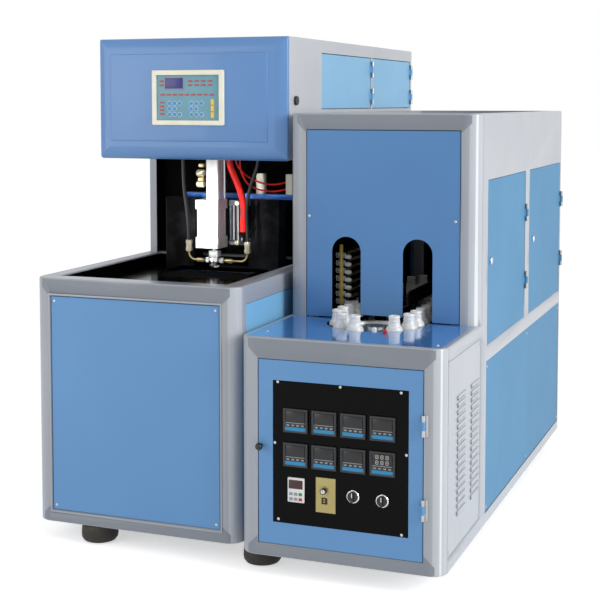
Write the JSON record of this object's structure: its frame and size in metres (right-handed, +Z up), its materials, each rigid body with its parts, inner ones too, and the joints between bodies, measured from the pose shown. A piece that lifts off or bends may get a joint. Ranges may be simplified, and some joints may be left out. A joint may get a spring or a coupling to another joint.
{
  "type": "blow moulding machine",
  "caption": "Semi-automatic bottle blow moulding machine with blowing unit and chain-type preform heater, light grey frames and blue panels",
  "frame": {"origin": "centre of the footprint on the floor, at the bottom of the feet", "axes": "X across the machine with the heater on the right, Y from the operator's side to the rear, Z up"},
  "size_m": [1.3535, 1.9006, 1.593],
  "materials": {
    "painted_frame": "light grey powder coat, gloss on the corners",
    "painted_blue": "medium blue gloss paint",
    "painted_light_blue": "light blue gloss paint",
    "black_sheet": "black satin paint",
    "cream_plastic": "cream",
    "teal_membrane": "blue-green printed membrane",
    "black_plastic": "black",
    "grey_plastic": "dark grey instrument faces",
    "white_plastic": "white",
    "gold_plate": "gold anodised",
    "aluminium": "machined",
    "chrome": "polished",
    "brushed_steel": "brushed",
    "dark_metal": "dark grey",
    "brass": "plain",
    "black_hose": "smooth",
    "red_hose": "smooth",
    "lamp_glass": "quartz, warm",
    "foot_rubber": "dark, a little dusty"
  },
  "bodies": {
    "machine": {"blower_frame": "painted_frame", "heater_frame": "painted_frame", "blower_front_panel": "painted_blue", "blower_side_panels": "painted_light_blue", "blower_rear_panel": "painted_light_blue", "table_tray": "black_sheet", "rear_cabinet": "painted_frame", "bulkhead": "black_sheet", "head_shell": "painted_frame", "head_cover": "painted_blue", "control_bezel": "cream_plastic", "control_keypad": "teal_membrane", "stretch_cylinder": "aluminium", "seal_cylinder": "aluminium", "air_hoses": "black_hose", "red_hoses": "red_hose", "side_cylinder": "dark_metal", "air_manifold": "cream_plastic", "gantry": "dark_metal", "tie_bars": "chrome", "clamp_cylinders": "dark_metal", "louvre_panel": "painted_frame", "lower_side_panel": "painted_light_blue", "heater_left_panel": "painted_light_blue", "heater_rear_panel": "painted_light_blue", "tower_front_panel": "painted_light_blue", "tower_roof": "painted_frame", "heater_table": "painted_blue", "preform_chain": "brushed_steel", "preform_holders": "white_plastic", "quartz_lamps": "lamp_glass", "oven_rack": "brushed_steel", "drive_motor": "dark_metal", "hinge_pins": "brushed_steel", "feet": "foot_rubber"},
    "control_door": {"control_door": "painted_blue", "control_sheet": "black_sheet", "panel_instruments": "grey_plastic", "speed_controller": "gold_plate"},
    "speed_knob": {"speed_knob": "black_plastic"},
    "power_rocker": {"power_rocker": "black_plastic"},
    "selector_left": {"selector_left": "black_plastic"},
    "selector_right": {"selector_right": "black_plastic"},
    "door_knob": {"door_knob": "black_plastic"},
    "tower_door_front": {"tower_door_front": "painted_blue"},
    "tower_door_rear": {"tower_door_rear": "painted_blue"},
    "tower_latch_front": {"tower_latch_front": "chrome"},
    "tower_latch_rear": {"tower_latch_rear": "chrome"},
    "head_door_front": {"head_door_front": "painted_light_blue"},
    "head_door_rear": {"head_door_rear": "painted_light_blue"},
    "head_knob": {"head_knob": "black_plastic"},
    "seal_carriage": {"seal_block": "cream_plastic", "air_pipes": "brass"},
    "stretch_rod": {"stretch_rod": "chrome"},
    "mould_side_left": {"clamp_platen_left": "dark_metal", "mould_half_left": "aluminium"},
    "mould_side_right": {"clamp_platen_right": "dark_metal", "mould_half_right": "aluminium"},
    "chain_wheel_front": {"chain_wheel_front": "aluminium"},
    "chain_wheel_rear": {"chain_wheel_rear": "aluminium"}
  },
  "joints": [
    {"name": "control_door_hinge", "type": "hinge", "parent": "machine", "child": "control_door", "pos_m": [0.611, -0.92875, 0.37], "axis": [0, 0, 1], "range_deg": [0, 110]},
    {"name": "door_knob_turn", "type": "hinge", "parent": "control_door", "child": "door_knob", "pos_m": [0.122, -0.92275, 0.387], "axis": [0, 1, 0], "range_deg": [0, 90]},
    {"name": "speed_knob_turn", "type": "hinge", "parent": "control_door", "child": "speed_knob", "pos_m": [0.316, -0.92275, 0.272], "axis": [0, 1, 0], "range_deg": [0, 270]},
    {"name": "power_rocker_tilt", "type": "hinge", "parent": "control_door", "child": "power_rocker", "pos_m": [0.318, -0.91925, 0.243], "axis": [1, 0, 0], "range_deg": [0, 20]},
    {"name": "selector_left_turn", "type": "hinge", "parent": "control_door", "child": "selector_left", "pos_m": [0.403, -0.92275, 0.264], "axis": [0, 1, 0], "range_deg": [0, 90]},
    {"name": "selector_right_turn", "type": "hinge", "parent": "control_door", "child": "selector_right", "pos_m": [0.49, -0.92275, 0.261], "axis": [0, 1, 0], "range_deg": [0, 90]},
    {"name": "tower_door_front_hinge", "type": "hinge", "parent": "machine", "child": "tower_door_front", "pos_m": [0.677, 0.16425, 0.88], "axis": [0, 0, 1], "range_deg": [0, 110]},
    {"name": "tower_latch_front_turn", "type": "hinge", "parent": "tower_door_front", "child": "tower_latch_front", "pos_m": [0.671, -0.38075, 0.889], "axis": [1, 0, 0], "range_deg": [0, 90]},
    {"name": "tower_door_rear_hinge", "type": "hinge", "parent": "machine", "child": "tower_door_rear", "pos_m": [0.677, 0.85925, 0.88], "axis": [0, 0, 1], "range_deg": [0, 110]},
    {"name": "tower_latch_rear_turn", "type": "hinge", "parent": "tower_door_rear", "child": "tower_latch_rear", "pos_m": [0.671, 0.29925, 0.891], "axis": [1, 0, 0], "range_deg": [0, 90]},
    {"name": "head_door_front_hinge", "type": "hinge", "parent": "machine", "child": "head_door_front", "pos_m": [0.035, 0.39125, 1.453], "axis": [0, 0, 1], "range_deg": [0, 95]},
    {"name": "head_door_rear_hinge", "type": "hinge", "parent": "machine", "child": "head_door_rear", "pos_m": [0.035, 0.91825, 1.453], "axis": [0, 0, 1], "range_deg": [0, 95]},
    {"name": "head_knob_turn", "type": "hinge", "parent": "machine", "child": "head_knob", "pos_m": [0.029, -0.40775, 1.387], "axis": [1, 0, 0], "range_deg": [0, 90]},
    {"name": "seal_slide", "type": "slide", "parent": "machine", "child": "seal_carriage", "axis": [0, 0, -1], "range_m": [0, 0.03], "deforming": ["air_hoses"]},
    {"name": "stretch_slide", "type": "slide", "parent": "seal_carriage", "child": "stretch_rod", "axis": [0, 0, -1], "range_m": [0, 0.25]},
    {"name": "mould_left_slide", "type": "slide", "parent": "machine", "child": "mould_side_left", "axis": [1, 0, 0], "range_m": [0, 0.0597]},
    {"name": "mould_right_slide", "type": "slide", "parent": "machine", "child": "mould_side_right", "axis": [-1, 0, 0], "range_m": [0, 0.0597]},
    {"name": "rear_wheel_turn", "type": "hinge", "parent": "machine", "child": "chain_wheel_rear", "pos_m": [0.361, 0.16367, 0.69], "axis": [0, 0, 1], "continuous": true},
    {"name": "front_wheel_turn", "type": "hinge", "parent": "machine", "child": "chain_wheel_front", "pos_m": [0.361, -0.57775, 0.69], "axis": [0, 0, 1], "continuous": true}
  ],
  "couplings": [
    {"joint": "mould_right_slide", "follows": "mould_left_slide", "ratio": 1},
    {"joint": "front_wheel_turn", "follows": "rear_wheel_turn", "ratio": 1}
  ]
}
